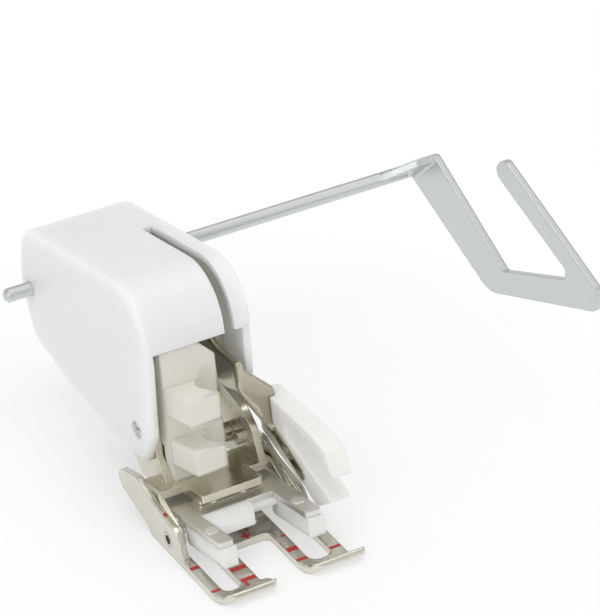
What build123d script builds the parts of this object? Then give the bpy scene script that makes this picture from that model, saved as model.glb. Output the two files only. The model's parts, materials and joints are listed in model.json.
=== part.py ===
from build123d import *
import math
import os

os.makedirs("parts", exist_ok=True)

# Millimetres. +X is the operator's right, -Y the front, +Z up; the needle drops at the origin,
# on the plane of the sole. The body is drawn upright and then leaned back about the sole hinge.
body_lean = 12.0
hinge_y = 10.0
hinge_z = 2.4

# Clearances
running = 0.05        # radial gap of a moving pin in its hole
side_gap = 0.05       # gap between faces that slide past each other
slot_gap = 0.3        # lever to the sides of its slot
lever_gap = 0.35      # lever blade to the outside of the housing
fork_gap = 0.25       # fork to the outside of the sole's flange
washer = 0.5          # lever to the inside of the right flange

# Sole plate, pressed from one sheet
sole_t = 1.2
flange_t = 1.0
sole_half = 11.3
toe_gap_left = -3.55
toe_gap_right = 3.5
left_inner_rail = 2.75
right_inner_rail = 1.9
left_outer_rail = 1.62
right_outer_rail = 2.0
slot_front = -4.35
slot_back = 12.9
crossbar = 2.0
bridge_front = 5.2
bridge_depth = 3.3
ear_relief_front = 6.4
toe_flat = 1.55       # flat length of a toe bar before it curls up
toe_reach = 1.1       # how far the curl runs on
toe_lift = 1.5
toe_bend_r = 1.6
toe_tip_r = 0.4
toe_corner_r = 3.6    # the big corner where a rail turns into its toe bar
toe_end_r = 1.0
left_toe_end = -1.9
right_toe_end = 13.4
finger_w = 1.6        # width of the finger that runs on from the right toe
finger_r = 0.7
slot_round = 0.42     # corner radius at a slot's front against its width
plan_r = 0.5
gap_r = 1.1
flange_foot = 5.1
flange_edge = [(5.1, 1.8, 0), (6.1, 3.4, 1.6), (7.8, 5.3, 2.4), (15.5, 6.45, 8.0), (19.5, 8.05, 3.0),
               (25.0, 6.5, 1.2), (25.4, 5.0, 0.6), (24.6, 3.7, 1.0), (22.0, 2.8, 4.0), (16.4, 1.3, 1.0),
               (15.2, 0.0, 0)]

# Hinge rivets and the ears that carry the sole
rivet_r = 1.2
rivet_bore = 0.75
ear_t = 0.9
ear_end = 2.2         # radius of the ear's round end
ear_front_turn = 143.0    # where the ear's edges leave that round end
ear_back_turn = 25.5

# Housing, one moulded shell
wall = 1.3
shell_left = -8.5
panel_y = 15.6
roof_z = 39.6
nose_r = 9.0
panel_foot = 29.6
panel_t = 3.9         # depth of the step behind the panel's foot
edge_round = 0.9
shell_rest = [(15.4, 27.9, 6.0), (17.0, 15.7, 4.0), (20.4, 10.4, 1.8), (31.9, 11.7, 10.0),
              (44.0, 15.2, 20.0), (56.2, 20.4, 4.5), (58.4, 31.0, 8.0), (55.0, 39.6, 5.0)]
right_wall_cut = [(8.0, 29.9, 0), (16.4, 29.9, 0.6), (16.9, 21.4, 2.0), (19.4, 16.0, 2.0), (22.4, 8.0, 0),
                  (8.0, 8.0, 0)]
floor_open = 35.0     # the bottom is open back to here
floor_open_z = 18.0
lever_slot_back = 40.0

# Frame channel, bent from one sheet
steel = 1.2
bend_r = 1.1          # outside of the bends where the wings turn down
left_pad = 0.1        # housing pads that stand on the flanges
right_pad = 0.3
base_top = 8.0
lip_y = 8.7
tongue_half = 5.3
base_back = 19.0
wing_front = 14.5
wing_back = 20.5
web_y = 46.0
web_low = 20.0
web_corner_r = 1.5
flange_top = 30.0
left_front = [(18.7, 30.0, 3.0), (19.0, 11.5, 1.0), (16.8, 8.0, 0)]
right_front = [(23.0, 30.0, 3.0), (22.4, 18.0, 0), (17.2, 15.9, 3.0), (14.6, 13.2, 3.0), (13.1, 8.0, 0)]
flange_low_back = 25.0
flange_back = [(27.5, 10.6, 4.0), (33.0, 13.9, 4.0)]

# Clamp block for the presser bar
block_right = 3.4
block_top = 29.3
block_corner_cut = 2.6
block_corner_r = 0.5
plate_front = 16.2
plate_back = 18.6
lug_front = 9.8
lug_left = -5.0
lug_right = 0.8
lug_corner_r = 0.5
lug_round = 0.35
lug_root = 0.8        # how far a lug runs into the plate
lower_lug = 10.75
screw_gap_low = 15.0
screw_gap_high = 18.9
upper_lug = 23.5
bar_r = 3.0
bar_x = 2.1
bar_y = 12.2
boss_back = 26.0
boss_low = 13.5
boss_high = 28.0
boss_right = -1.0
block_rivet_r = 1.0
block_rivet_y = 23.0
block_rivet_cover = 2.0   # plastic left beyond the tips of the rivets
block_rivet_z = (19.5, 25.6)

# Lever and fork
pivot_y = 40.0
pivot_z = 27.0
pivot_r = 1.5
hub_r = 4.4
lever_spacer_wall = 0.9
lever_t = 1.2
jog_gap = 0.8
jog_low = 20.2
jog_high = 25.0
jog_shoulder = 23.8
jog_end = 19.2
jog_foot = 11.6
jog_round = 1.6
cam_gap = 0.2
cam_half = 9.0
arm_edge = [(19.5, 25.6, 6.0), (30.5, 30.6, 5.0), (40.0, 31.2, 0), (41.0, 24.0, 0), (36.0, 23.4, 2.0),
            (26.0, 20.4, 4.0), (18.0, 19.4, 2.0)]
fork_t = 2.45
fork_round = 0.4
fork_edge = [(17.4, 18.8, 2.5), (2.0, 16.0, 8.0), (-2.2, 14.4, 1.8), (-4.0, 10.5, 1.0), (-4.2, 6.6, 1.0),
             (2.7, 3.2, 2.5), (9.1, 4.8, 8.0), (13.3, 6.7, 8.0), (20.0, 9.9, 1.2), (19.6, 12.6, 1.0)]
notch_mouth = (-2.6, 8.5)
notch_end = (8.6, 13.6)
notch_mouth_half = 2.0
notch_end_half = 1.3
blade_tip = (6.0, 6.0)
blade_bend = (16.2, 12.6)
blade_heel = [(20.8, 15.5, 0.8), (18.6, 18.0, 1.5)]
strip_w = 2.2         # width of the blade where it runs along the fork
strip_r = 0.8
blade_bend_r = 1.5
fork_rivet_r = 0.8
fork_rivets = [(15.6, 15.0), (10.2, 10.0)]
fork_rivet_in = 1.6

# Feed arm, its pin, roller and studs
feed_y = 22.2
feed_z = 10.2
feed_pin_r = 1.0
feed_hub_r = 1.9
feed_spacer_wall = 0.6
arm_t = 0.85
arm_front = 10.5
arm_tail = 1.2        # plate behind the pin
cheek_gap = 0.6       # cheeks behind the channel's base
arm_half = 5.0
roller_gap = 0.5      # collar between the arm and the roller
cheek_t = 1.0
left_cheek = -3.8
roller_y = 31.5
roller_z = 13.8
roller_r = 1.6
roller_pin_r = 0.7
roller_collar = 0.4
roller_cap_t = 0.3
stud_r = 1.0
stud_head_r = 1.9
stud_head_t = 0.7
stud_x = 2.6
stud_y = 15.2
arm_gap = 0.2         # feed arm under the channel base
wire_r = 0.3
coil_gap = 0.4        # coil to the spacer inside it
coil_space = 0.06     # between neighbouring turns
coil_turns = 2.25

# Feed carrier and dog
carrier_t = 0.9
carrier_r = 0.8
prong_r = 0.6
prong_root = 2.0      # how far a prong runs into the plate
stroke = 4.0
carrier_left_gap = 0.45   # carrier to the ears
carrier_right_gap = 0.35
carrier_front = 7.6
carrier_back = 20.4
left_prong_gaps = (0.68, 0.2)    # prong to the outer and inner edge of its slot
right_prong_gaps = (0.7, 0.5)
prong_tip = -2.8
rail_front = -3.3
rail_back = 8.0
dog_web_front = 6.2
dog_web_back = 9.0
dog_web_t = 0.8
apron_front = 2.5     # plate of the dog that fills the carrier's fork on the left
apron_tip = 0.0
apron_right = 1.5
apron_slant = 5.8
apron_r = 0.4
dog_depth = 3.1
tooth_depth = 0.5
tooth_count = 13
stake_share = 0.32    # stake radius against the prong's width
stake_head_share = 0.42
stake_head_t = 0.15
stake_in = 1.2
stake_y = 2.0

# Guide bar: a rod whose end is flattened to a paddle and turned down into a flat hook
rod_r = 1.15
rod_y = 54.8
rod_z = 29.0
rod_tip = -13.0
rod_round = 0.5
paddle_start = 56.5
paddle_full = 61.5
paddle_t = 1.3
paddle_low = -4.2
paddle_high = 5.9
paddle_foot_r = 1.0
paddle_corner_r = 2.0
paddle_turn = 47.4    # turn of the paddle's width about the rod
hook_x = 64.6
hook_t = 1.2
hook_edge = [(-21.65, -12.8, 6.0), (-51.75, 0.1, 2.2), (-51.75, 3.65, 1.8), (-24.35, 14.0, 1.6),
             (-21.55, 10.6, 1.6), (-42.75, 3.1, 0.5), (-42.75, 1.2, 0.5), (-25.45, -6.75, 1.2)]
guide_clear = 0.05

# Stop pin on the right flange, and the leaf that grips the guide rod
stop_y = 18.6
stop_z = 10.6
stop_r = 0.7
stop_head_r = 1.1
stop_head_t = 0.9
leaf_x = 0.5
leaf_half = 2.0
leaf_t = 0.4
leaf_low = 22.6
leaf_rise = 0.4       # how much the leaf climbs from the web to the rod
leaf_past = 1.2       # how far it runs past the rod
leaf_bend_r = 0.9
leaf_rivet_z = 24.6
leaf_rivet_r = 0.8
leaf_head_r = 1.4
leaf_head_t = 0.5

# Housing screws
screw_r = 0.8
screw_head_r = 1.25
screw_head_t = 0.5
recess_r = 1.5
recess_depth = 0.9
driver_slot_w = 0.4
driver_slot_deep = 0.25
pad_rim = 0.7
left_screw = (22.0, 15.6)
right_screw = (38.0, 18.6)


def corner_face(corners):
    edges = []
    stops = []
    count = len(corners)
    for i, (x, y, r) in enumerate(corners):
        px, py, _ = corners[i - 1]
        nx, ny, _ = corners[(i + 1) % count]
        if r <= 0:
            stops.append(((x, y), None, (x, y)))
            continue
        back = math.hypot(px - x, py - y)
        ahead = math.hypot(nx - x, ny - y)
        ax, ay = (px - x) / back, (py - y) / back
        bx, by = (nx - x) / ahead, (ny - y) / ahead
        half = math.acos(max(-1.0, min(1.0, ax * bx + ay * by))) / 2
        run = r / math.tan(half)
        mx, my = ax + bx, ay + by
        size = math.hypot(mx, my)
        away = r / math.sin(half) - r
        middle = (x + mx / size * away, y + my / size * away)
        stops.append(((x + ax * run, y + ay * run), middle, (x + bx * run, y + by * run)))
    for i, (start, middle, end) in enumerate(stops):
        previous = stops[i - 1][2]
        if math.dist(previous, start) > 1e-6:
            edges.append(Line(previous, start))
        if middle is not None:
            edges.append(ThreePointArc(start, middle, end))
    return make_face(edges)


def slab(corners, x0, x1):
    side = Plane(origin=(x0, 0, 0), x_dir=(0, 1, 0), z_dir=(1, 0, 0))
    return extrude(side * corner_face(corners), x1 - x0)


def front(corners, y0, y1):
    face = Plane(origin=(0, y1, 0), x_dir=(1, 0, 0), z_dir=(0, -1, 0))
    return extrude(face * corner_face(corners), y1 - y0)


def flat(corners, z0, z1):
    return extrude(Pos(0, 0, z0) * corner_face(corners), z1 - z0)


def block(x0, x1, y0, y1, z0, z1):
    return Pos((x0 + x1) / 2, (y0 + y1) / 2, (z0 + z1) / 2) * Box(x1 - x0, y1 - y0, z1 - z0)


def round_x(y, z, r, x0, x1):
    return Pos((x0 + x1) / 2, y, z) * Rot(0, 90, 0) * Cylinder(r, x1 - x0)


def tube_x(y, z, r, bore, x0, x1):
    return round_x(y, z, r, x0, x1) - round_x(y, z, bore, x0, x1)


def round_y(x, z, r, y0, y1):
    return Pos(x, (y0 + y1) / 2, z) * Rot(90, 0, 0) * Cylinder(r, y1 - y0)


def round_z(x, y, r, z0, z1):
    return Pos(x, y, (z0 + z1) / 2) * Cylinder(r, z1 - z0)


def plan(x0, x1, y0, y1, r):
    return [(x0, y0, r), (x1, y0, r), (x1, y1, r), (x0, y1, r)]


def leaned(shape):
    return Pos(0, hinge_y, hinge_z) * Rot(-body_lean, 0, 0) * Pos(0, -hinge_y, -hinge_z) * shape


def save(name, shape):
    solids = shape.solids()
    piece = solids[0] if len(solids) == 1 else Compound(children=solids)
    piece.label = name
    export_step(piece, "parts/" + name + ".step")


# Places that follow from the values above
flange_in = sole_half - flange_t
ear_out = flange_in - side_gap
ear_in = ear_out - ear_t
left_slot_in = toe_gap_left - left_inner_rail
left_slot_out = left_outer_rail - sole_half
right_slot_in = toe_gap_right + right_inner_rail
right_slot_out = sole_half - right_outer_rail
lever_x = arm_half + roller_gap
lever_right = lever_x + lever_t
right_inside = lever_right + washer
channel_right = right_inside + steel
shell_right = channel_right + right_pad + wall
channel_left = shell_left + wall + left_pad
left_inside = channel_left + steel
block_left = left_inside + side_gap
base_low = base_top - steel
arm_top = base_low - arm_gap
arm_low = arm_top - arm_t
carrier_top = arm_low - side_gap
carrier_low = carrier_top - carrier_t
head_top = carrier_low - side_gap
fork_x = max(sole_half + fork_gap, shell_right + lever_gap + lever_t)
blade_x = fork_x - lever_t
jog_back = panel_y - jog_gap
jog_front = jog_back - lever_t
far = 100.0           # past everything
over = 1.0            # how far a cutter runs past a face

# Sole plate: one sheet whose toes curl up, cut to its outline and slotted
toe_bend = slot_front - toe_flat
toe_front = toe_bend - toe_reach
floor_back = slot_back + crossbar
tip_y = toe_front + 0.75 * sole_t
tip_z = toe_lift + 0.6 * sole_t
sheet = [(floor_back, 0, 0), (toe_bend, 0, toe_bend_r), (toe_front, toe_lift, toe_tip_r),
         (tip_y, tip_z, toe_tip_r), (toe_bend + toe_tip_r, sole_t, plan_r), (floor_back, sole_t, 0)]
outline = [(-sole_half, floor_back, 0), (-sole_half, toe_front, toe_corner_r),
           (left_toe_end, toe_front, toe_end_r), (left_toe_end, slot_front, toe_end_r),
           (toe_gap_left, slot_front, plan_r), (toe_gap_left, bridge_front, gap_r),
           (toe_gap_right, bridge_front, gap_r), (toe_gap_right, toe_front, toe_corner_r),
           (right_toe_end, toe_front, finger_r), (right_toe_end, toe_front + finger_w, finger_r),
           (sole_half, toe_front + finger_w, plan_r), (sole_half, floor_back, 0)]
sole = slab(sheet, -far, far) & flat(outline, -over, far)
for x0, x1 in ((left_slot_out, left_slot_in), (right_slot_in, right_slot_out)):
    front_r = slot_round * (x1 - x0)
    slot = [(x0, slot_front, front_r), (x1, slot_front, front_r),
            (x1, slot_back, plan_r), (x0, slot_back, plan_r)]
    sole -= flat(slot, -over, sole_t + over)
openings = [plan(toe_gap_left, toe_gap_right, bridge_front + bridge_depth, slot_back, plan_r),
            plan(-flange_in, left_slot_in, ear_relief_front, slot_back, plan_r),
            plan(right_slot_in, flange_in, ear_relief_front, slot_back, plan_r)]
for opening in openings:
    sole -= flat(opening, -over, sole_t + over)
side_edge = [(flange_foot, 0, 0)] + flange_edge
sole += slab(side_edge, -sole_half, -flange_in)
sole += slab(side_edge, flange_in, sole_half)
sole -= round_x(hinge_y, hinge_z, rivet_r + running, -far, far)
save("sole_plate", sole)

# Hinge rivets
for name, x0, x1 in (("hinge_rivet_left", -sole_half, -ear_in), ("hinge_rivet_right", ear_in, sole_half)):
    save(name, tube_x(hinge_y, hinge_z, rivet_r, rivet_bore, x0, x1))

# Frame channel
ear = [(hinge_y + ear_end * math.cos(math.radians(ear_front_turn)),
        hinge_z + ear_end * math.sin(math.radians(ear_front_turn)), 0),
       (wing_front, base_top, bend_r), (wing_back, base_top, 0), (wing_back, base_low, 0),
       (hinge_y + ear_end * math.cos(math.radians(ear_back_turn)),
        hinge_z + ear_end * math.sin(math.radians(ear_back_turn)), 0)]
wings = flat(plan(-ear_out, ear_out, wing_front, wing_back, 0), base_low, base_top)
wings -= block(-tongue_half, tongue_half, base_back, far, -far, far)
for x0, x1 in ((-ear_out, -ear_in), (ear_in, ear_out)):
    wings += slab(ear, x0, x1) + round_x(hinge_y, hinge_z, ear_end, x0, x1)
bends = [(-ear_out, -far, 0), (ear_out, -far, 0), (ear_out, base_top, bend_r), (-ear_out, base_top, bend_r)]
wings = wings & front(bends, -far, far)
channel = flat(plan(-tongue_half, tongue_half, lip_y, base_back, plan_r), base_low, base_top) + wings
channel += block(tongue_half - over, channel_right, right_front[-1][0], wing_front + over, base_low, base_top)
low_edge = [(flange_low_back, base_low, web_corner_r)] + flange_back
low_edge += [(web_y + steel, web_low, web_corner_r), (web_y + steel, flange_top, web_corner_r)]
for edge, x0, x1 in ((left_front, channel_left, left_inside), (right_front, right_inside, channel_right)):
    foot = (edge[-1][0], base_low, 0)
    channel += slab(edge + [foot] + low_edge, x0, x1)
channel += block(channel_left, channel_right, web_y, web_y + steel, web_low + web_corner_r,
                 flange_top - web_corner_r)
channel -= round_x(hinge_y, hinge_z, rivet_r, -far, far)
channel -= round_x(pivot_y, pivot_z, pivot_r, -far, far)
channel -= round_x(feed_y, feed_z, feed_pin_r, -far, far)
for z in block_rivet_z:
    channel -= round_x(block_rivet_y, z, block_rivet_r, channel_left - over, left_inside + over)
channel -= round_x(*left_screw, screw_r, channel_left - over, left_inside + over)
channel -= round_x(*right_screw, screw_r, right_inside - over, channel_right + over)
channel -= round_x(stop_y, stop_z, stop_r, right_inside - over, channel_right + over)
channel -= round_y(leaf_x, leaf_rivet_z, leaf_rivet_r, web_y - over, web_y + steel + over)
save("frame_channel", leaned(channel))

# Housing
shell_edge = [(panel_y, roof_z, nose_r)] + shell_rest
shell = slab(shell_edge, shell_left, shell_right)
sides = shell.faces().filter_by(Axis.X)
shell = fillet(sides[0].edges() + sides[1].edges(), edge_round)
shell_plane = Plane(origin=(shell_left + wall, 0, 0), x_dir=(0, 1, 0), z_dir=(1, 0, 0))
hollow = offset(corner_face(shell_edge), -wall)
shell -= extrude(shell_plane * hollow, shell_right - shell_left - 2 * wall)
mouth = [(0, 0, 0), (0, panel_foot, 0), (panel_y + panel_t, panel_foot, 0), (floor_open, floor_open_z, 0),
         (floor_open, 0, 0)]
shell -= slab(mouth, shell_left + wall, shell_right - wall)
shell -= slab(right_wall_cut, shell_right - wall - side_gap, shell_right + over)
shell -= block(lever_x - slot_gap, lever_right + slot_gap, 0, lever_slot_back,
               panel_foot - wall, roof_z + over)
pad_r = recess_r + pad_rim
shell += round_x(*left_screw, pad_r, shell_left + wall / 2, channel_left)
shell += round_x(*right_screw, pad_r, channel_right, shell_right - wall / 2)
shell -= round_x(*left_screw, recess_r, shell_left - over, shell_left + recess_depth)
shell -= round_x(*left_screw, screw_r, shell_left - over, channel_left + over)
shell -= round_x(*right_screw, recess_r, shell_right - recess_depth, shell_right + over)
shell -= round_x(*right_screw, screw_r, channel_right - over, shell_right + over)
shell -= round_x(rod_y, rod_z, rod_r + guide_clear, -far, far)
save("housing", leaned(shell))

# Housing screws, with a driver slot
left_floor = shell_left + recess_depth
right_floor = shell_right - recess_depth
left = round_x(*left_screw, screw_r, left_floor, left_inside)
left += round_x(*left_screw, screw_head_r, left_floor - screw_head_t, left_floor)
left -= Pos(left_floor - screw_head_t, *left_screw) * Box(2 * driver_slot_deep, far, driver_slot_w)
save("housing_screw_left", leaned(left))
right = round_x(*right_screw, screw_r, right_inside, right_floor)
right += round_x(*right_screw, screw_head_r, right_floor, right_floor + screw_head_t)
right -= Pos(right_floor + screw_head_t, *right_screw) * Box(2 * driver_slot_deep, far, driver_slot_w)
save("housing_screw_right", leaned(right))

# Clamp block and its rivets
plate = [(block_left, base_top, 0), (block_right, base_top, 0),
         (block_right, block_top - block_corner_cut, block_corner_r),
         (block_right - block_corner_cut, block_top, block_corner_r), (block_left, block_top, block_corner_r)]
clamp = front(plate, plate_front, plate_back)
lug = [(lug_left, lug_front, lug_corner_r), (lug_right, lug_front, lug_corner_r),
       (lug_right, plate_front + lug_root, 0), (block_left, plate_front + lug_root, 0)]
for z0, z1 in ((lower_lug, screw_gap_low), (screw_gap_high, upper_lug)):
    jaw = flat(lug, z0, z1)
    rims = jaw.faces().sort_by(Axis.Z)
    clamp += fillet(rims[0].edges() + rims[-1].edges(), lug_round)
clamp += block(left_inside, boss_right, plate_back - lug_root, boss_back, boss_low, boss_high)
clamp -= round_z(bar_x, bar_y, bar_r, base_top - over, block_top + over)
rivet_tip = boss_right - block_rivet_cover
for z in block_rivet_z:
    clamp -= round_x(block_rivet_y, z, block_rivet_r, left_inside - over, rivet_tip)
save("shank_block", leaned(clamp))
for name, z in zip(("block_rivet_lower", "block_rivet_upper"), block_rivet_z):
    save(name, leaned(round_x(block_rivet_y, z, block_rivet_r, channel_left, rivet_tip)))

# Lever pin with its spacers
spacer_r = pivot_r + lever_spacer_wall
save("lever_pin", leaned(round_x(pivot_y, pivot_z, pivot_r, channel_left, channel_right)))
for name, x0, x1 in (("lever_spacer_left", left_inside, lever_x - side_gap),
                     ("lever_spacer_right", lever_right + side_gap, right_inside)):
    save(name, leaned(tube_x(pivot_y, pivot_z, spacer_r, pivot_r, x0, x1)))

# Lever: an inner plate in the slot, a jog round the panel and a blade outside
lever = slab([(jog_front, jog_low, 0), (jog_front, jog_high, 0)] + arm_edge, lever_x, lever_right)
lever += round_x(pivot_y, pivot_z, hub_r, lever_x, lever_right)
jog = [(lever_x, jog_low, 0), (lever_x, jog_high, 0), (lever_right, jog_shoulder, jog_round),
       (fork_x, jog_end, jog_round), (fork_x, jog_foot, 0), (blade_x, jog_foot, jog_round)]
lever += front(jog, jog_front, jog_back)
slope = math.atan2(blade_bend[1] - blade_tip[1], blade_bend[0] - blade_tip[0])
strip_end = (blade_tip[0] - strip_w * math.sin(slope), blade_tip[1] + strip_w * math.cos(slope))
strip_root = strip_end[1] + (jog_front - strip_end[0]) * math.tan(slope)
blade = blade_heel + [(jog_back, jog_end, 0), (jog_front, jog_end, 0), (jog_front, strip_root, 0),
                      (*strip_end, strip_r), (*blade_tip, strip_r), (*blade_bend, blade_bend_r)]
lever += slab(blade, blade_x, fork_x)
to_roller = math.atan2(roller_z - pivot_z, roller_y - pivot_y)
cam_reach = math.dist((pivot_y, pivot_z), (roller_y, roller_z)) - roller_r - cam_gap
spread = math.radians(cam_half)
wedge = [(pivot_y, pivot_z, 0)]
for turn in (-spread, spread):
    wedge.append((pivot_y + 2 * cam_reach * math.cos(to_roller + turn),
                  pivot_z + 2 * cam_reach * math.sin(to_roller + turn), 0))
lever += slab(wedge, lever_x, lever_right) & round_x(pivot_y, pivot_z, cam_reach, lever_x, lever_right)
lever -= round_x(pivot_y, pivot_z, pivot_r + running, -far, far)
for y, z in fork_rivets:
    lever -= round_x(y, z, fork_rivet_r, blade_x - over, fork_x + over)
save("lever_arm", leaned(lever))

# Fork tip and its rivets
run_y = notch_end[0] - notch_mouth[0]
run_z = notch_end[1] - notch_mouth[1]
run = math.hypot(run_y, run_z)
along = (run_y / run, run_z / run)
across = (-along[1], along[0])


def notch_point(along_mm, across_mm):
    return (notch_mouth[0] + along[0] * along_mm + across[0] * across_mm,
            notch_mouth[1] + along[1] * along_mm + across[1] * across_mm, 0)


flare = (notch_mouth_half - notch_end_half) / run
outside = 6.0
notch = [notch_point(-outside, notch_mouth_half + outside * flare), notch_point(run, notch_end_half),
         notch_point(run, -notch_end_half), notch_point(-outside, -notch_mouth_half - outside * flare)]
fork = slab(fork_edge, fork_x, fork_x + fork_t)
fork = fillet(fork.faces().sort_by(Axis.X)[-1].edges(), fork_round)
low_y = blade_tip[0] - outside
low_z = blade_tip[1] - outside * math.tan(slope)
lining = [(jog_front, strip_root, 0), (*strip_end, strip_r), (*blade_tip, strip_r), (low_y, low_z, 0),
          (-far, low_z, 0), (-far, far, 0), (jog_front, far, 0)]
fork += slab(fork_edge, blade_x, fork_x) & slab(lining, blade_x, fork_x)
fork -= slab(notch, blade_x - over, fork_x + fork_t + over)
fork -= round_x(*notch_end, notch_end_half, blade_x - over, fork_x + fork_t + over)
for y, z in fork_rivets:
    fork -= round_x(y, z, fork_rivet_r, fork_x - over, fork_x + fork_rivet_in)
save("fork_tip", leaned(fork))
for name, (y, z) in zip(("fork_rivet_rear", "fork_rivet_front"), fork_rivets):
    save(name, leaned(round_x(y, z, fork_rivet_r, blade_x, fork_x + fork_rivet_in)))

# Feed pin and its spacers
save("feed_pin", leaned(round_x(feed_y, feed_z, feed_pin_r, channel_left, channel_right)))
feed_spacer_r = feed_pin_r + feed_spacer_wall
for name, x0, x1 in (("feed_spacer_left", left_inside, left_cheek - side_gap),
                     ("feed_spacer_right", arm_half + side_gap, right_inside)):
    save(name, leaned(tube_x(feed_y, feed_z, feed_spacer_r, feed_pin_r, x0, x1)))

# Feed arm: a plate under the channel, two cheeks on the pin and a tail to the roller
arm_back = feed_y + arm_tail
cheek_front = base_back + cheek_gap
arm = flat(plan(-arm_half, arm_half, arm_front, arm_back, plan_r), arm_low, arm_top)
cheek = [(cheek_front, arm_low, 0), (arm_back, arm_low, 0), (feed_y + feed_hub_r, feed_z, 0),
         (feed_y - feed_hub_r, feed_z, 0)]
right_cheek = arm_half - cheek_t
for x0 in (left_cheek, right_cheek):
    arm += slab(cheek, x0, x0 + cheek_t) + round_x(feed_y, feed_z, feed_hub_r, x0, x0 + cheek_t)
tail = math.hypot(roller_y - feed_y, roller_z - feed_z)
ty, tz = (roller_y - feed_y) / tail, (roller_z - feed_z) / tail
tail_edge = []
for end, side in ((0, 1), (0, -1), (tail, -1), (tail, 1)):
    tail_edge.append((feed_y + ty * end - tz * roller_r * side, feed_z + tz * end + ty * roller_r * side, 0))
arm += slab(tail_edge, right_cheek, arm_half) + round_x(roller_y, roller_z, roller_r, right_cheek, arm_half)
arm -= round_x(feed_y, feed_z, feed_pin_r + running, -far, far)
arm -= round_x(roller_y, roller_z, roller_pin_r, -far, far)
for x in (-stud_x, stud_x):
    arm -= round_z(x, stud_y, stud_r, arm_low - over, arm_top + over)
save("feed_arm", leaned(arm))

# Roller on its pin
pin_collar = roller_pin_r + roller_collar
axle = round_x(roller_y, roller_z, roller_pin_r, right_cheek, lever_right + side_gap)
axle += round_x(roller_y, roller_z, pin_collar, arm_half, lever_x - side_gap)
axle += round_x(roller_y, roller_z, pin_collar, lever_right + side_gap, lever_right + side_gap + roller_cap_t)
save("roller_pin", leaned(axle))
roller = tube_x(roller_y, roller_z, roller_r, roller_pin_r + running, lever_x, lever_right)
save("cam_roller", leaned(roller))

# Shoulder studs that guide the carrier
for name, x in (("guide_stud_left", -stud_x), ("guide_stud_right", stud_x)):
    stud = round_z(x, stud_y, stud_r, head_top - stud_head_t / 2, arm_top)
    stud += round_z(x, stud_y, stud_head_r, head_top - stud_head_t, head_top)
    save(name, leaned(stud))

# Torsion spring on the left feed spacer
coil_r = feed_spacer_r + coil_gap + wire_r
coil_pitch = 2 * wire_r + coil_space
coil_x = left_cheek - wire_r - coil_pitch * coil_turns
coil = Helix(coil_pitch, coil_pitch * coil_turns, coil_r)
wire = sweep(Plane(origin=coil @ 0, z_dir=coil % 0) * RegularPolygon(wire_r, 6), path=coil, is_frenet=True)
spring = Pos(coil_x, feed_y, feed_z) * Rot(0, 90, 0) * wire
save("arm_spring", leaned(spring))

# Feed carrier
left_prong = (left_slot_out + left_prong_gaps[0], left_slot_in - left_prong_gaps[1])
right_prong = (right_slot_in + right_prong_gaps[1], right_slot_out - right_prong_gaps[0])
left_x = (left_prong[0] + left_prong[1]) / 2
right_x = (right_prong[0] + right_prong[1]) / 2
prong_w = min(left_prong[1] - left_prong[0], right_prong[1] - right_prong[0])
stake_r = stake_share * prong_w
stake_head_r = stake_head_share * prong_w
carrier_left = carrier_left_gap - ear_in
carrier_right = ear_in - carrier_right_gap
carrier_plan = plan(carrier_left, carrier_right, carrier_front, carrier_back, carrier_r)
carrier = flat(carrier_plan, carrier_low, carrier_top)
for x0, x1 in (left_prong, right_prong):
    carrier += flat(plan(x0, x1, prong_tip, carrier_front + prong_root, prong_r), carrier_low, carrier_top)
slot_half = stud_r + running
for x in (-stud_x, stud_x):
    carrier -= block(x - slot_half, x + slot_half, stud_y - stroke, stud_y, -far, far)
    for y in (stud_y - stroke, stud_y):
        carrier -= round_z(x, y, slot_half, -far, far)
for x in (left_x, right_x):
    carrier -= round_z(x, stake_y, stake_r, -far, far)
save("carrier_plate", leaned(carrier))

# Feed dog with toothed rails
tooth_pitch = (rail_back - rail_front) / tooth_count
rail_low = carrier_low - dog_depth
rail = [(rail_back, carrier_low, 0), (rail_front, carrier_low, 0)]
for i in range(tooth_count):
    rail.append((rail_front + i * tooth_pitch, rail_low, 0))
    rail.append((rail_front + (i + 1) * tooth_pitch, rail_low + tooth_depth, 0))
web_low_z = carrier_low - dog_web_t
dog = block(left_x, right_x, dog_web_front, dog_web_back, web_low_z, carrier_low)
apron = [(left_prong[1], apron_front, 0), (apron_tip, apron_front, apron_r),
         (apron_right, apron_slant, apron_r), (apron_right, carrier_front, 0),
         (left_prong[1], carrier_front, 0)]
dog += flat(apron, web_low_z, carrier_top)
for x0, x1 in (left_prong, right_prong):
    dog += slab(rail, x0, x1)
stake_low = carrier_low - stake_in
for x in (left_x, right_x):
    dog -= round_z(x, stake_y, stake_r, stake_low, carrier_top)
save("feed_dog", leaned(dog))
for name, x in (("dog_rivet_left", left_x), ("dog_rivet_right", right_x)):
    stake = round_z(x, stake_y, stake_r, stake_low, carrier_top)
    stake += round_z(x, stake_y, stake_head_r, carrier_top, carrier_top + stake_head_t)
    save(name, leaned(stake))

# Stop pin
stop = round_x(stop_y, stop_z, stop_r, right_inside, channel_right)
stop += round_x(stop_y, stop_z, stop_head_r, right_inside - stop_head_t, right_inside)
save("stop_pin", leaned(stop))

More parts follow.
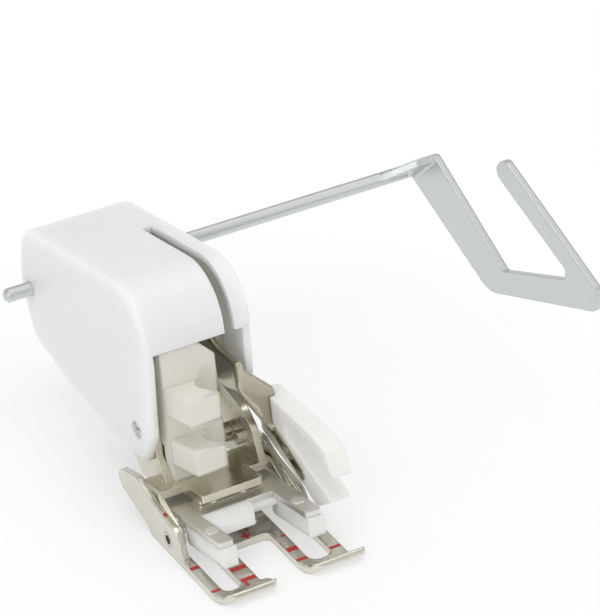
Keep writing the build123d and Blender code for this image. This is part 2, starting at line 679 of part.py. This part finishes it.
# Leaf spring under the guide rod, with its rivet
web_back = web_y + steel
leaf_top = rod_z - rod_r - guide_clear
leaf_end = rod_y + leaf_past
leaf = [(web_back, leaf_low, 0), (web_back + leaf_t, leaf_low, 0),
        (web_back + leaf_t, leaf_top - leaf_rise - leaf_t, leaf_bend_r - leaf_t),
        (leaf_end, leaf_top - leaf_t, 0), (leaf_end, leaf_top, 0),
        (web_back, leaf_top - leaf_rise, leaf_bend_r)]
strip = slab(leaf, leaf_x - leaf_half, leaf_x + leaf_half)
strip -= round_y(leaf_x, leaf_rivet_z, leaf_rivet_r, web_back - over, web_back + leaf_t + over)
save("rod_leaf", leaned(strip))
pin = round_y(leaf_x, leaf_rivet_z, leaf_rivet_r, web_y, web_back + leaf_t)
pin += round_y(leaf_x, leaf_rivet_z, leaf_head_r, web_back + leaf_t, web_back + leaf_t + leaf_head_t)
save("leaf_rivet", leaned(pin))

# Guide bar, drawn about its own rod and then moved to where the housing holds it
lean = math.radians(body_lean)
bar_y_at = hinge_y + (rod_y - hinge_y) * math.cos(lean) + (rod_z - hinge_z) * math.sin(lean)
bar_z_at = hinge_z - (rod_y - hinge_y) * math.sin(lean) + (rod_z - hinge_z) * math.cos(lean)
rod = round_x(0, 0, rod_r, rod_tip, paddle_full)
rod = chamfer(rod.faces().sort_by(Axis.X)[0].edges(), rod_round)
width_y = -math.sin(math.radians(paddle_turn))
width_z = math.cos(math.radians(paddle_turn))
paddle_plane = Plane(origin=(0, 0, 0), x_dir=(1, 0, 0), z_dir=(0, -width_z, width_y))
paddle_edge = [(paddle_start, -rod_r, paddle_foot_r), (paddle_full, paddle_low, paddle_corner_r),
               (hook_x + hook_t, paddle_low, 0), (hook_x + hook_t, paddle_high, 0),
               (paddle_full, paddle_high, paddle_corner_r), (paddle_start, rod_r, paddle_foot_r)]
paddle = extrude(paddle_plane * corner_face(paddle_edge), paddle_t / 2, both=True)
roots = [(width_y * paddle_low, width_z * paddle_low, 0), (width_y * paddle_high, width_z * paddle_high, 0)]
hook = slab([roots[0]] + hook_edge + [roots[1]], hook_x, hook_x + hook_t)
guide = rod + paddle + hook
save("guide_bar", Pos(0, bar_y_at, bar_z_at) * guide)
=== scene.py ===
import json
import math

import bmesh
import bpy
from mathutils import Matrix, Vector

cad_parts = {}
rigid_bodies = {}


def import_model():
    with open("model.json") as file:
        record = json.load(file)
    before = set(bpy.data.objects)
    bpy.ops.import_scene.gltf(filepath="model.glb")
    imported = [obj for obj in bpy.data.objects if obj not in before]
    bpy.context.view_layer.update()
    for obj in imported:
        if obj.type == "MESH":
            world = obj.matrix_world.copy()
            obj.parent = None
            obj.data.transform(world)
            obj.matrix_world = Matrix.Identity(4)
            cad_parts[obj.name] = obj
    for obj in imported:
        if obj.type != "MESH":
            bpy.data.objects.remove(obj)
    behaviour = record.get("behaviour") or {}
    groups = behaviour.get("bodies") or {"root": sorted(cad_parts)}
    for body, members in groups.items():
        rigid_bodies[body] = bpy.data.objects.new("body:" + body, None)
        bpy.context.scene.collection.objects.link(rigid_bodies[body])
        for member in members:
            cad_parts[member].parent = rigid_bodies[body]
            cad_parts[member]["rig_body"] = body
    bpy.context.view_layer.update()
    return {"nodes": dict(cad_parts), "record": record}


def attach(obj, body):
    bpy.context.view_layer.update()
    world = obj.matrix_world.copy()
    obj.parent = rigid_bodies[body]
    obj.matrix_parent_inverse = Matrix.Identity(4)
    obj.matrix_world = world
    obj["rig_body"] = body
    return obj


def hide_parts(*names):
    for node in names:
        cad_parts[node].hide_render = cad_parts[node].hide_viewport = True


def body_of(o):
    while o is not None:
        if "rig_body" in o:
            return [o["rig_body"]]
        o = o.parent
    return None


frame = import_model()
print("stage: frame loaded")

mm = 0.001
scene = bpy.context.scene


class Term:
    # A shader value that can be added and multiplied like a number
    def __init__(self, graph, socket):
        self.graph = graph
        self.socket = socket

    def math(self, operation, other, swap=False):
        node = self.graph.tree.nodes.new("ShaderNodeMath")
        node.operation = operation
        pair = (other, self) if swap else (self, other)
        for spot, value in zip(node.inputs, pair):
            self.graph.feed(spot, value)
        return Term(self.graph, node.outputs[0])

    def __add__(self, other):
        return self.math("ADD", other)

    def __radd__(self, other):
        return self.math("ADD", other, True)

    def __mul__(self, other):
        return self.math("MULTIPLY", other)

    def __rmul__(self, other):
        return self.math("MULTIPLY", other, True)


class Graph:
    # The node tree of a material or of the world
    noiseSpan = (0.3, 0.7)  # most of a noise lies between these

    def __init__(self, owner):
        owner.use_nodes = True
        self.owner = owner
        self.tree = owner.node_tree

    def feed(self, spot, value):
        if isinstance(value, Term):
            self.tree.links.new(value.socket, spot)
        else:
            spot.default_value = value

    # An input goes by its name, with underscores for spaces, or by its number, as in s0
    def node(self, kind, settings=None, output=0, **inputs):
        made = self.tree.nodes.new(kind)
        for key, value in (settings or {}).items():
            setattr(made, key, value)
        for key, value in inputs.items():
            number = key[1:]
            self.feed(made.inputs[int(number) if number.isdigit() else key.replace("_", " ")], value)
        return Term(self, made.outputs[output])

    def noise(self, size, detail=3.0, stretch=(1, 1, 1)):
        spot = self.node("ShaderNodeTexCoord", output="Object")
        place = self.node("ShaderNodeMapping", Vector=spot, Scale=stretch)
        return self.node("ShaderNodeTexNoise", Vector=place, Scale=1.0 / size, Detail=detail)

    def blend(self, amount, low, high):
        low = low if isinstance(low, Term) else (*low, 1.0)
        high = high if isinstance(high, Term) else (*high, 1.0)
        return self.node("ShaderNodeMix", {"data_type": "RGBA"}, 2, s0=amount, s6=low, s7=high)

    def spread(self, amount, low, high):
        start, end = self.noiseSpan
        return self.node("ShaderNodeMapRange", Value=amount, From_Min=start, From_Max=end,
                         To_Min=low, To_Max=high)

    def set(self, **values):
        shader = self.tree.nodes["Principled BSDF"]
        for key, value in values.items():
            self.feed(shader.inputs[key.replace("_", " ")], value)
        return self.owner


# How every plastic and every plating is mixed; clouds and lines are sized in grains of the look
plasticMix = {"cloud": 14, "fineDetail": 2.0, "scatter": (1.0, 0.95, 0.85), "coatRough": 0.12, "index": 1.48}
metalMix = {"cloud": 3, "line": 0.5, "lineDetail": 4.0, "more": 0.6, "less": 0.4}
edgeSamples = 6


# Edges catch the light over a small radius, as moulded and pressed edges do
def finish(graph, height, look):
    edge = graph.node("ShaderNodeBevel", {"samples": edgeSamples}, Radius=look["edge"])
    return graph.node("ShaderNodeBump", Height=height, Distance=look["depth"], Normal=edge)


def plastic(name, look):
    graph = Graph(bpy.data.materials.new(name))
    cloud = graph.noise(look["grain"] * plasticMix["cloud"])
    fine = graph.noise(look["grain"], detail=plasticMix["fineDetail"])
    colour = graph.blend(cloud, look["low"], look["high"])
    rough = graph.spread(cloud * 0.5 + fine * 0.5, *look["rough"])
    graph.set(Subsurface_Weight=look["milk"], Subsurface_Scale=look["glowDepth"])
    graph.set(Subsurface_Radius=plasticMix["scatter"], IOR=plasticMix["index"])
    graph.set(Coat_Weight=look["coat"], Coat_Roughness=plasticMix["coatRough"])
    return graph.set(Base_Color=colour, Roughness=rough, Normal=finish(graph, fine, look))


def metal(name, look):
    more, less = metalMix["more"], metalMix["less"]
    graph = Graph(bpy.data.materials.new(name))
    cloud = graph.noise(look["grain"] * metalMix["cloud"])
    lines = graph.noise(look["grain"] * metalMix["line"], metalMix["lineDetail"], look["stretch"])
    colour = graph.blend(cloud * more + lines * less, look["low"], look["high"])
    rough = graph.spread(lines * more + cloud * less, *look["rough"])
    return graph.set(Metallic=1.0, Base_Color=colour, Roughness=rough, Normal=finish(graph, lines, look))


shellLook = {"low": (0.90, 0.91, 0.895), "high": (0.935, 0.945, 0.93), "rough": (0.30, 0.40),
             "grain": 0.4 * mm, "depth": 0.004 * mm, "edge": 0.15 * mm, "milk": 0.65, "glowDepth": 3.5 * mm,
             "coat": 0.15}
creamLook = {"low": (0.745, 0.725, 0.655), "high": (0.79, 0.77, 0.70), "rough": (0.40, 0.50),
             "grain": 0.5 * mm, "depth": 0.006 * mm, "edge": 0.65 * mm, "milk": 0.08, "glowDepth": 0.9 * mm,
             "coat": 0.0}
feedLook = {"low": (0.83, 0.825, 0.80), "high": (0.87, 0.865, 0.845), "rough": (0.34, 0.46),
            "grain": 0.4 * mm, "depth": 0.005 * mm, "edge": 0.2 * mm, "milk": 0.6, "glowDepth": 2.2 * mm,
            "coat": 0.0}
nickelLook = {"low": (0.70, 0.68, 0.61), "high": (0.82, 0.80, 0.745), "rough": (0.11, 0.20),
              "grain": 2.5 * mm, "depth": 0.010 * mm, "edge": 0.2 * mm, "stretch": (1, 1, 1)}
zincLook = {"low": (0.60, 0.625, 0.63), "high": (0.68, 0.705, 0.71), "rough": (0.34, 0.46),
            "grain": 0.6 * mm, "depth": 0.004 * mm, "edge": 0.4 * mm, "stretch": (0.12, 1, 1)}
pinLook = {"low": (0.60, 0.585, 0.55), "high": (0.70, 0.685, 0.65), "rough": (0.22, 0.34),
           "grain": 0.5 * mm, "depth": 0.003 * mm, "edge": 0.1 * mm, "stretch": (4, 1, 1)}
springLook = {"low": (0.34, 0.34, 0.35), "high": (0.44, 0.44, 0.45), "rough": (0.30, 0.42),
              "grain": 0.4 * mm, "depth": 0.003 * mm, "edge": 0.05 * mm, "stretch": (1, 1, 1)}
looks = {
    "shell_white": plastic("shellWhite", shellLook),
    "block_cream": plastic("blockCream", creamLook),
    "feed_white": plastic("feedWhite", feedLook),
    "nickel_plate": metal("nickelPlate", nickelLook),
    "guide_zinc": metal("guideZinc", zincLook),
    "pin_steel": metal("pinSteel", pinLook),
    "spring_steel": metal("springSteel", springLook),
}

# The channel and what stands in it are tinted olive: painted shade and painted olive reflection for the
# shaded
# inside. The lever is the darkest: a painted dark reflection on its plating. The carrier has a duller
# plating with pale stakes in it, and the sole is polished bright with soft edges.
# painted shade: this olive tint stands in for the shade and olive reflections inside the channel
oliveShadeLook = {"low": (0.70, 0.67, 0.565), "high": (0.80, 0.77, 0.665), "rough": (0.24, 0.34),
             "grain": 2.5 * mm, "depth": 0.004 * mm, "edge": 0.2 * mm, "stretch": (1, 1, 1)}
# painted reflection: this dark plating stands in for the dark surroundings the lever reflects
leverDarkReflectionLook = {"low": (0.42, 0.395, 0.31), "high": (0.54, 0.51, 0.415), "rough": (0.10, 0.18),
             "grain": 2.5 * mm, "depth": 0.012 * mm, "edge": 0.2 * mm, "stretch": (1, 1, 1)}
satinLook = {"low": (0.74, 0.73, 0.70), "high": (0.84, 0.83, 0.80), "rough": (0.34, 0.46),
             "grain": 0.8 * mm, "depth": 0.005 * mm, "edge": 0.2 * mm, "stretch": (1, 1, 1)}
soleLook = {"low": (0.56, 0.54, 0.475), "high": (0.86, 0.84, 0.775), "rough": (0.08, 0.18),
            "grain": 1.6 * mm, "depth": 0.02 * mm, "edge": 0.55 * mm, "stretch": (1, 1, 1)}
stakeLook = {"low": (0.86, 0.855, 0.835), "high": (0.92, 0.915, 0.90), "rough": (0.40, 0.50),
             "grain": 0.5 * mm, "depth": 0.004 * mm, "edge": 0.1 * mm, "stretch": (1, 1, 1)}
ownLooks = (
    (metal("olivePaintedShade", oliveShadeLook), ("frame_channel", "feed_arm", "feed_pin", "feed_spacer_left",
                                      "feed_spacer_right", "roller_pin", "cam_roller")),
    (metal("leverPaintedReflection", leverDarkReflectionLook), ("lever_arm",)),
    (metal("satinPlate", satinLook), ("carrier_plate",)),
    (metal("solePlate", soleLook), ("sole_plate",)),
    (metal("stakePale", stakeLook), ("dog_rivet_left", "dog_rivet_right")),
)
ownLook = {node: look for look, nodes in ownLooks for node in nodes}
slotOf = {row["node"]: row["material_slot"] for row in frame["record"]["subparts"]}
for name, node in frame["nodes"].items():
    for spot in node.material_slots:
        spot.material = ownLook.get(name, looks[slotOf[name]])
print("stage: materials set on", len(slotOf), "nodes")

copyMerge = {"within": 0.002 * mm, "flat": 0.5}  # how near corners are one, and degrees that count as flat


# A merged copy of a CAD node, with flat faces joined, that may be cut and rounded
def finishedCopy(node, name):
    mesh = frame["nodes"][node].data.copy()
    build = bmesh.new()
    build.from_mesh(mesh)
    bmesh.ops.remove_doubles(build, verts=build.verts, dist=copyMerge["within"])
    bmesh.ops.dissolve_limit(build, angle_limit=math.radians(copyMerge["flat"]), verts=build.verts,
                             edges=build.edges)
    return placed(build, mesh, name)


# Turns a bmesh into an object of the scene
def placed(build, mesh, name):
    build.to_mesh(mesh)
    build.free()
    piece = bpy.data.objects.new(name, mesh)
    scene.collection.objects.link(piece)
    return piece


# The mesh that an object's modifiers make of it
def evaluated(piece):
    return bpy.data.meshes.new_from_object(piece.evaluated_get(bpy.context.evaluated_depsgraph_get()))


def settle(piece, node):
    mesh = evaluated(piece)
    piece.modifiers.clear()
    piece.data = mesh
    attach(piece, body_of(frame["nodes"][node])[0])
    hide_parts(node)


# Clamp block: the round seats for the presser bar open right back to the plate, and the upper one runs out
# in it. Places, in millimetres, are given as if the body stood upright; it leans back over the sole's hinge.
bodyLean = {"degrees": 12.0, "hinge": Vector((0, 10.0, 2.4))}
seatCut = {"radius": 3.0, "sides": 64,
           "seats": [{"place": (1.6, 13.3, 8.1), "height": 9.0, "lean": 0.0},
                     {"place": (1.6, 14.7, 18.0), "height": 10.0, "lean": 12.0}]}


def leaned():
    turn = Matrix.Rotation(math.radians(-bodyLean["degrees"]), 4, "X")
    place = Matrix.Translation(bodyLean["hinge"])
    return Matrix.Scale(mm, 4) @ place @ turn @ place.inverted()


def seatCutter(seat):
    build = bmesh.new()
    tilt = Matrix.Rotation(math.radians(seat["lean"]), 4, "X")
    lift = Matrix.Translation((0, 0, seat["height"] / 2))
    bmesh.ops.create_cone(build, cap_ends=True, segments=seatCut["sides"], radius1=seatCut["radius"],
                          radius2=seatCut["radius"], depth=seat["height"],
                          matrix=leaned() @ Matrix.Translation(seat["place"]) @ tilt @ lift)
    return placed(build, bpy.data.meshes.new("seatCut"), "seatCut")


block = finishedCopy("shank_block", "clampBlock")
cutters = [seatCutter(seat) for seat in seatCut["seats"]]
for cutter in cutters:
    cut = block.modifiers.new("seat", "BOOLEAN")
    cut.operation = "DIFFERENCE"
    cut.solver = "EXACT"
    cut.object = cutter
settle(block, "shank_block")
for cutter in cutters:
    bpy.data.objects.remove(cutter)
print("stage: clamp block seated")

# Fork: a soft moulding with round prong ends. Lever: pressed from sheet, so its jog bends over a round.
forkSoft = {"cell": 0.2 * mm, "times": 16, "pull": 0.5}
leverSoft = {"cell": 0.2 * mm, "times": 20, "pull": 0.5}


# A copy that is remeshed finely and relaxed until its edges are round
def relaxedCopy(node, name, look):
    piece = finishedCopy(node, name)
    cells = piece.modifiers.new("cells", "REMESH")
    cells.mode = "VOXEL"
    cells.voxel_size = look["cell"]
    cells.use_smooth_shade = True
    relax = piece.modifiers.new("relax", "SMOOTH")
    relax.factor = look["pull"]
    relax.iterations = look["times"]
    settle(piece, node)


relaxedCopy("fork_tip", "softFork", forkSoft)
relaxedCopy("lever_arm", "bentLever", leverSoft)

# Guide bar: the flat is folded into the hook over a round. The two long edges of that fold run "along",
# beyond "hookFrom" on X, and are longer than "foldLength".
guideRound = {"out": 1.0 * mm, "in": 0.6 * mm, "steps": 5, "sharp": 60, "profile": 0.5,
              "along": Vector((0, -0.736, 0.677)), "parallel": 0.99,
              "hookFrom": 64.0 * mm, "foldLength": 5.0 * mm}


def isFold(edge, convex):
    run = edge.verts[1].co - edge.verts[0].co
    if len(edge.link_faces) != 2 or edge.is_convex != convex or run.length <= guideRound["foldLength"]:
        return False
    onHook = edge.verts[0].co.x > guideRound["hookFrom"]
    parallel = abs(run.normalized().dot(guideRound["along"])) > guideRound["parallel"]
    return onHook and parallel and edge.calc_face_angle() > math.radians(guideRound["sharp"])


def roundFold(piece, width, convex):
    build = bmesh.new()
    build.from_mesh(piece.data)
    edges = [edge for edge in build.edges if isFold(edge, convex)]
    bmesh.ops.bevel(build, geom=edges, offset=width, offset_type="OFFSET", segments=guideRound["steps"],
                    profile=guideRound["profile"], affect="EDGES", clamp_overlap=False)
    build.to_mesh(piece.data)
    build.free()


guide = finishedCopy("guide_bar", "softGuide")
roundFold(guide, guideRound["out"], True)
roundFold(guide, guideRound["in"], False)
settle(guide, "guide_bar")
print("stage: fork, lever and guide bar rounded")

# Red paint marks on the top of the sole, in millimetres: the middle on X and Y, then the size on X and Y
markLook = {"low": (0.40, 0.012, 0.014), "high": (0.52, 0.045, 0.04), "rough": (0.35, 0.55),
            "patch": 0.5 * mm, "depth": 0.01 * mm, "top": 1.2, "proud": 0.06}
toeMarks = [
    (-10.49, 3.2, 1.54, 0.7), (-10.49, -3.2, 1.54, 0.5),
    (-4.92, -0.15, 2.68, 0.95), (-4.85, -3.1, 2.5, 0.85), (-5.7, -4.15, 0.4, 1.1),
    (4.45, -0.15, 1.84, 1.0), (4.45, -3.05, 1.84, 0.6), (4.95, 3.4, 0.84, 0.4),
    (10.3, -2.95, 1.9, 0.55),
]
crossMark = [(0.1, 6.3, 0.42, 1.9), (-0.38, 6.3, 0.54, 0.42), (0.58, 6.3, 0.54, 0.42)]  # these only touch
flangeMark = {"place": (-10.8, 11.6, 5.88), "size": (0.5, 0.7, 0.16)}


def redPaint():
    graph = Graph(bpy.data.materials.new("redPaint"))
    cloud = graph.noise(markLook["patch"])
    colour = graph.blend(cloud, markLook["low"], markLook["high"])
    bump = graph.node("ShaderNodeBump", Height=cloud, Distance=markLook["depth"])
    return graph.set(Base_Color=colour, Roughness=graph.spread(cloud, *markLook["rough"]), Normal=bump)


# One box for each point, sized by the point's own attribute
def markTree():
    tree = bpy.data.node_groups.new("markTree", "GeometryNodeTree")
    tree.interface.new_socket("Points", in_out="INPUT", socket_type="NodeSocketGeometry")
    tree.interface.new_socket("Paint", in_out="INPUT", socket_type="NodeSocketMaterial")
    tree.interface.new_socket("Marks", in_out="OUTPUT", socket_type="NodeSocketGeometry")
    kinds = {"points": "NodeGroupInput", "marks": "NodeGroupOutput", "box": "GeometryNodeMeshCube",
             "span": "GeometryNodeInputNamedAttribute", "spread": "GeometryNodeInstanceOnPoints",
             "real": "GeometryNodeRealizeInstances", "paint": "GeometryNodeSetMaterial"}
    node = {name: tree.nodes.new(kind) for name, kind in kinds.items()}
    node["span"].data_type = "FLOAT_VECTOR"
    node["span"].inputs["Name"].default_value = "span"
    for start, end in (
        (node["points"].outputs["Points"], node["spread"].inputs["Points"]),
        (node["box"].outputs["Mesh"], node["spread"].inputs["Instance"]),
        (node["span"].outputs["Attribute"], node["spread"].inputs["Scale"]),
        (node["spread"].outputs["Instances"], node["real"].inputs["Geometry"]),
        (node["real"].outputs["Geometry"], node["paint"].inputs["Geometry"]),
        (node["points"].outputs["Paint"], node["paint"].inputs["Material"]),
        (node["paint"].outputs["Geometry"], node["marks"].inputs["Marks"]),
    ):
        tree.links.new(start, end)
    return tree


def paintMarks():
    topMarks = toeMarks + crossMark
    places = [(x, y, markLook["top"]) for x, y, _, _ in topMarks] + [flangeMark["place"]]
    spans = [(wide, deep, markLook["proud"]) for _, _, wide, deep in topMarks] + [flangeMark["size"]]
    points = bpy.data.meshes.new("markPoints")
    points.from_pydata([Vector(place) * mm for place in places], [], [])
    span = points.attributes.new("span", "FLOAT_VECTOR", "POINT")
    span.data.foreach_set("vector", [value * mm for row in spans for value in row])
    holder = bpy.data.objects.new("markPoints", points)
    scene.collection.objects.link(holder)
    tree = markTree()
    stamp = holder.modifiers.new("marks", "NODES")
    stamp.node_group = tree
    for item in tree.interface.items_tree:
        if item.name == "Paint":
            stamp[item.identifier] = redPaint()
    piece = bpy.data.objects.new("sole_marks", evaluated(holder))
    bpy.data.objects.remove(holder)
    scene.collection.objects.link(piece)
    return piece


soleMarks = paintMarks()
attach(soleMarks, "sole")
print("stage: red marks painted")

cameraView = {"place": (-216.8, -373.6, 328.6), "turn": -30.8, "rise": 33.2, "lens": 210.39, "sensor": 36.0,
              "near": 0.01, "far": 50}
camera = bpy.data.cameras.new("camera")
camera.lens = cameraView["lens"]
camera.sensor_width = cameraView["sensor"]
camera.clip_start = cameraView["near"]
camera.clip_end = cameraView["far"]
viewer = bpy.data.objects.new("camera", camera)
viewer.location = Vector(cameraView["place"]) * mm
viewer.rotation_euler = (math.radians(90 - cameraView["rise"]), 0, math.radians(cameraView["turn"]))
scene.collection.objects.link(viewer)
scene.camera = viewer

# A pale floor that is nearly white to the eye and in reflections, and keeps a faint shadow. The white glow
# thins toward the middle, over the span "around" for the eye, where the floor's own shadow then shows, and
# over "under" for reflections, where it is painted shade: the plating sees a darker floor under the object.
floorLook = {"half": 4.0, "colour": (0.96, 0.96, 0.96, 1.0), "rough": 0.85, "shine": 0.1,
             "middle": (0.0, 22 * mm, 0.0), "around": (30 * mm, 90 * mm), "shadow": 0.5,
             "under": (14 * mm, 42 * mm), "mirroredShade": 0.4}


def floorPaint():
    graph = Graph(bpy.data.materials.new("floorPale"))
    graph.set(Base_Color=floorLook["colour"], Roughness=floorLook["rough"])
    graph.set(Specular_IOR_Level=floorLook["shine"])
    pale = Term(graph, graph.tree.nodes["Principled BSDF"].outputs[0])
    bright = graph.node("ShaderNodeEmission", Color=(1, 1, 1, 1), Strength=1.0)
    eye = graph.node("ShaderNodeLightPath", output="Is Camera Ray")
    mirror = graph.node("ShaderNodeLightPath", output="Is Glossy Ray")
    spot = graph.node("ShaderNodeTexCoord", output="Object")
    away = graph.node("ShaderNodeVectorMath", {"operation": "DISTANCE"}, "Value",
                      s0=spot, s1=floorLook["middle"])

    def fade(span, low):
        return graph.node("ShaderNodeMapRange", {"interpolation_type": "SMOOTHSTEP"}, Value=away,
                          From_Min=span[0], From_Max=span[1], To_Min=low, To_Max=1.0)

    seen = eye * fade(floorLook["around"], floorLook["shadow"])
    # painted shade: under the object the floor looks darker in the plating's reflections
    shadedReflectionGlow = mirror * fade(floorLook["under"], floorLook["mirroredShade"])
    mixed = graph.node("ShaderNodeMixShader", s0=seen + shadedReflectionGlow, s1=pale, s2=bright)
    graph.feed(graph.tree.nodes["Material Output"].inputs["Surface"], mixed)
    return graph.owner


reach = floorLook["half"]
corners = [(-reach, -reach, 0), (reach, -reach, 0), (reach, reach, 0), (-reach, reach, 0)]
floorMesh = bpy.data.meshes.new("floor")
floorMesh.from_pydata(corners, [], [(0, 1, 2, 3)])
floorMesh.materials.append(floorPaint())
floor = bpy.data.objects.new("floor", floorMesh)
scene.collection.objects.link(floor)

# Square lamps: place, aim and size in millimetres, power in watts
lamps = {
    "key": {"place": (-400, -170, 300), "aim": (0, 20, 15), "size": 280, "power": 0.42},
    "fill": {"place": (380, -320, 240), "aim": (20, 10, 15), "size": 300, "power": 0.22},
    "top": {"place": (40, 60, 480), "aim": (20, 25, 10), "size": 420, "power": 0.58},
}
for name, lamp in lamps.items():
    light = bpy.data.lights.new(name, "AREA")
    light.shape = "SQUARE"
    light.size = lamp["size"] * mm
    light.energy = lamp["power"]
    holder = bpy.data.objects.new(name, light)
    holder.location = Vector(lamp["place"]) * mm
    aim = Vector(lamp["aim"]) * mm - holder.location
    holder.rotation_euler = aim.to_track_quat("-Z", "Y").to_euler()
    scene.collection.objects.link(holder)

# The room lights the object by "around", shows in its plating as "glossy" and is white behind it
worldLook = {"around": (0.70, 0.705, 0.705), "glossy": (0.62, 0.61, 0.575), "seen": (1.0, 1.0, 1.0)}
scene.world = bpy.data.worlds.new("studio")
worldGraph = Graph(scene.world)
glossyRay = worldGraph.node("ShaderNodeLightPath", output="Is Glossy Ray")
cameraRay = worldGraph.node("ShaderNodeLightPath", output="Is Camera Ray")
shine = worldGraph.blend(glossyRay, worldLook["around"], worldLook["glossy"])
backdrop = worldGraph.tree.nodes["Background"]
worldGraph.feed(backdrop.inputs["Color"], worldGraph.blend(cameraRay, shine, worldLook["seen"]))
worldGraph.feed(backdrop.inputs["Strength"], 1.0)
scene.view_settings.view_transform = "Standard"
print("stage: camera, floor and lights set")
